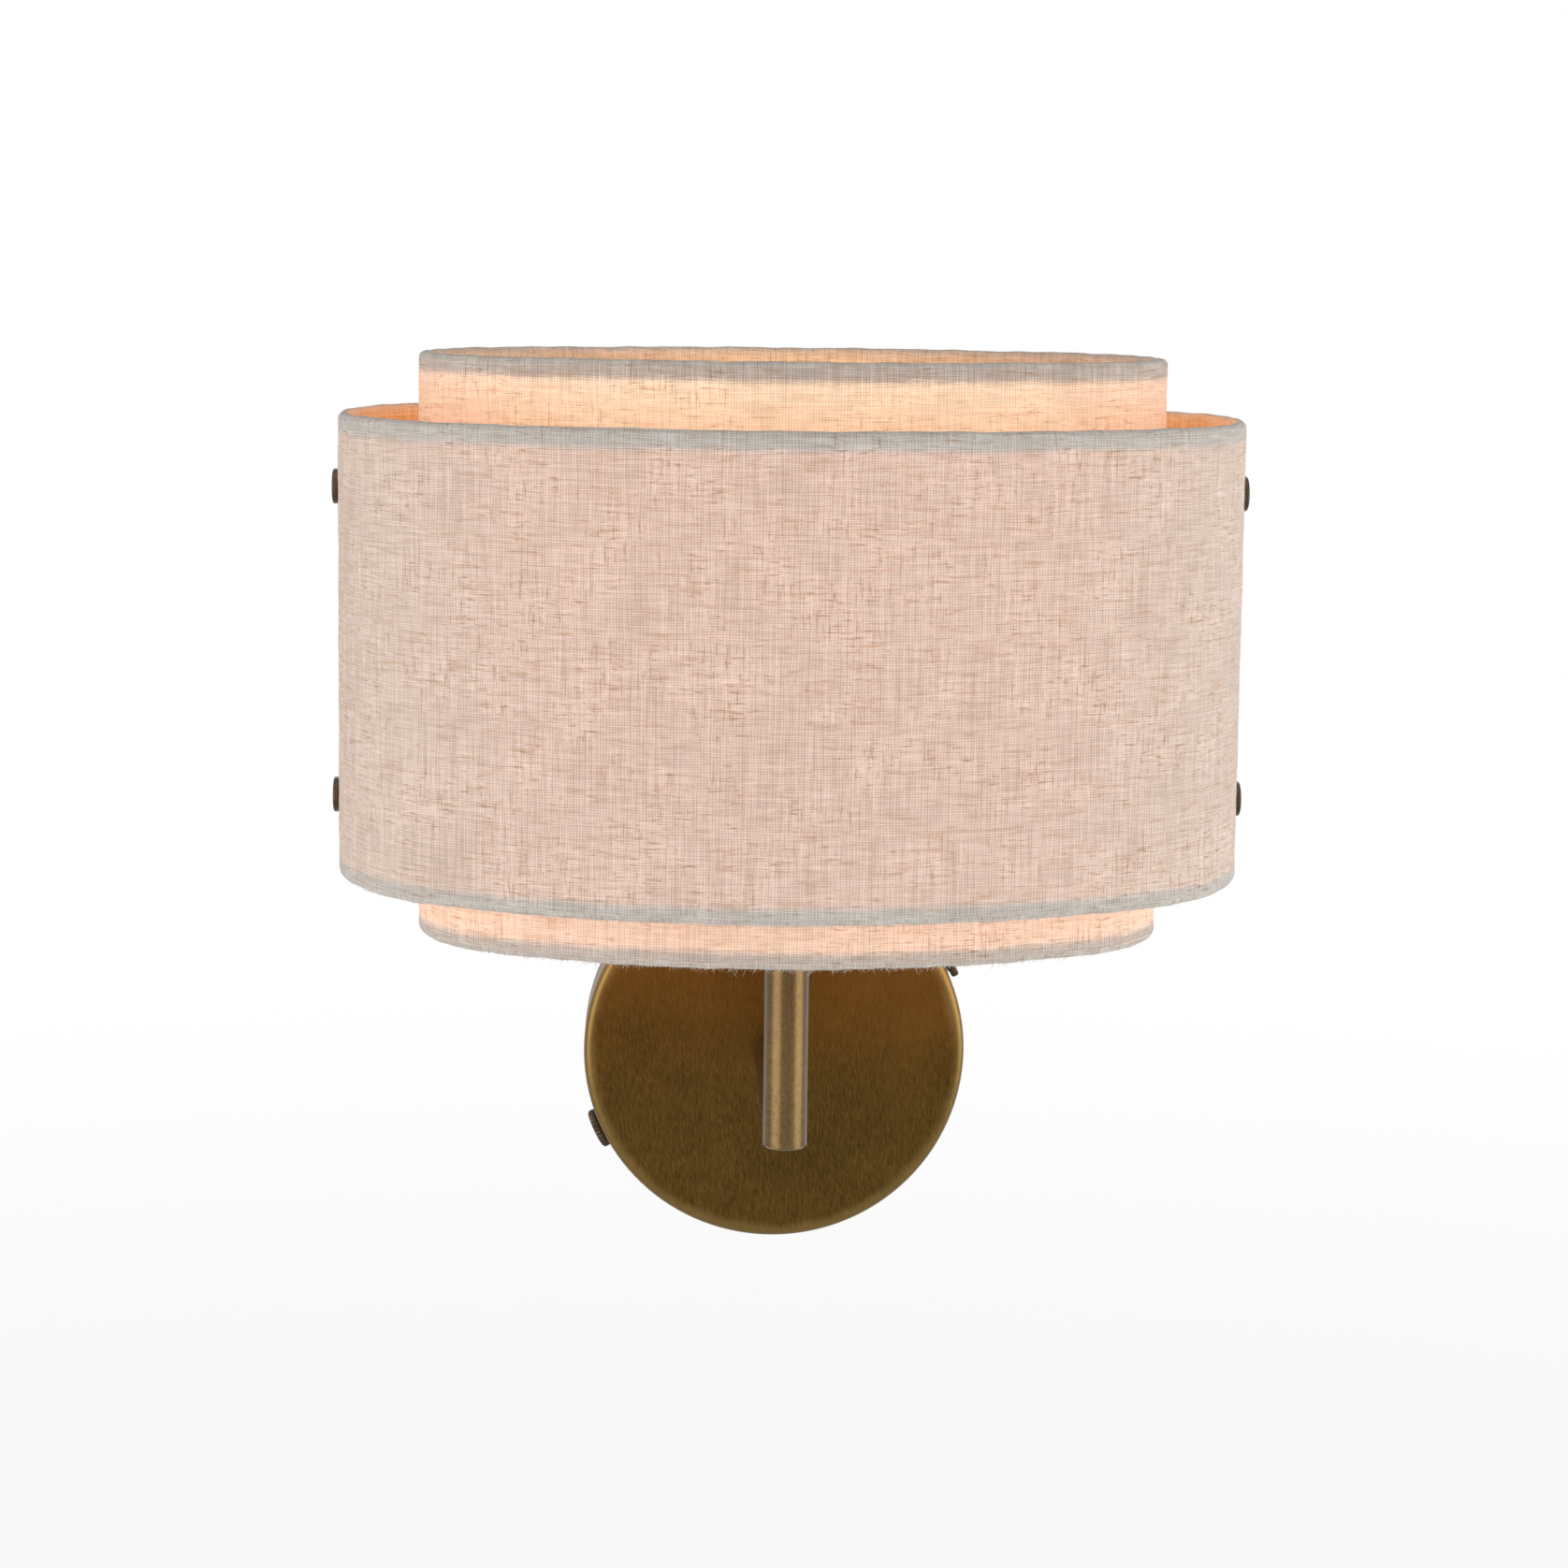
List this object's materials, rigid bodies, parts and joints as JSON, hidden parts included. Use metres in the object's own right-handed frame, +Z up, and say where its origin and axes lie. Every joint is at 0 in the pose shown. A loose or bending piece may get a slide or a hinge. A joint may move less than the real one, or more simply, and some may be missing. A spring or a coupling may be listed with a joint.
{
  "type": "fabric shade wall light",
  "caption": "Wall light with a taller oval linen shade inside a wider one, studded at the ends, on an upright brass tube and a round wall plate.",
  "frame": {"origin": "middle of the round wall plate, on the wall", "axes": "+Z up, +Y into the wall, the light reaches towards -Y, +X to the right of someone facing the wall"},
  "size_m": [0.2592, 0.183, 0.2826],
  "materials": {
    "steel": "zinc plated",
    "rubber": "matt",
    "antique_brass": "vertically brushed, darkened",
    "bronze": "dark bronze",
    "plated_brass": "plain turned",
    "block_plastic": "moulded",
    "holder_plastic": "moulded",
    "brown_wire": "insulation",
    "blue_wire": "insulation",
    "earth_wire": "insulation",
    "ceramic": "unglazed",
    "opal_glass": "opal",
    "clear_glass": "clear",
    "black_glass": "glossy",
    "nickel": "plated",
    "phosphor": "phosphor coat",
    "linen": "slubbed natural linen",
    "lining": "translucent film"
  },
  "bodies": {
    "lamp": {"wall_bracket": "steel", "cable_bush": "rubber", "canopy": "antique_brass", "terminal_block": "block_plastic", "terminal_screws": "plated_brass", "block_screws": "steel", "earth_tag": "nickel", "earth_screw": "plated_brass", "earth_wire": "earth_wire", "live_wire": "brown_wire", "neutral_wire": "blue_wire", "canopy_nipple": "plated_brass", "canopy_washer": "steel", "canopy_nut": "plated_brass", "stub_tube": "antique_brass", "upright_tube": "antique_brass", "tube_end_plug": "antique_brass", "top_nipple": "plated_brass", "shade_carrier": "steel", "carrier_washer": "steel", "shade_spacers": "bronze", "shade_studs": "bronze", "shade_nuts": "steel", "inner_linen": "linen", "inner_liner": "lining", "inner_top_ring": "steel", "inner_bottom_ring": "steel", "outer_linen": "linen", "outer_liner": "lining", "outer_top_ring": "steel", "outer_bottom_ring": "steel", "holder_base": "holder_plastic", "holder_sleeve": "holder_plastic", "contact_block": "ceramic", "centre_contact": "plated_brass", "screw_shell": "plated_brass"},
    "bulb": {"bulb_glass": "opal_glass", "bulb_cap": "nickel", "bulb_insulator": "black_glass", "bulb_tip": "nickel", "bulb_stem": "clear_glass", "led_filaments": "phosphor"},
    "lower_thumb_screw": {"thumb_screw_lower": "bronze"},
    "upper_thumb_screw": {"thumb_screw_upper": "bronze"}
  },
  "joints": [
    {"name": "bulb_lift", "type": "slide", "parent": "lamp", "child": "bulb", "axis": [0, 0, 1], "range_m": [0, 0.03]},
    {"name": "lower_thumb_turn", "type": "hinge", "parent": "lamp", "child": "lower_thumb_screw", "pos_m": [-0.05396, -0.011, -0.02714], "axis": [-0.8934, 0, -0.4493], "continuous": true},
    {"name": "upper_thumb_turn", "type": "hinge", "parent": "lamp", "child": "upper_thumb_screw", "pos_m": [0.05396, -0.011, 0.02714], "axis": [0.8934, 0, 0.4493], "continuous": true}
  ]
}
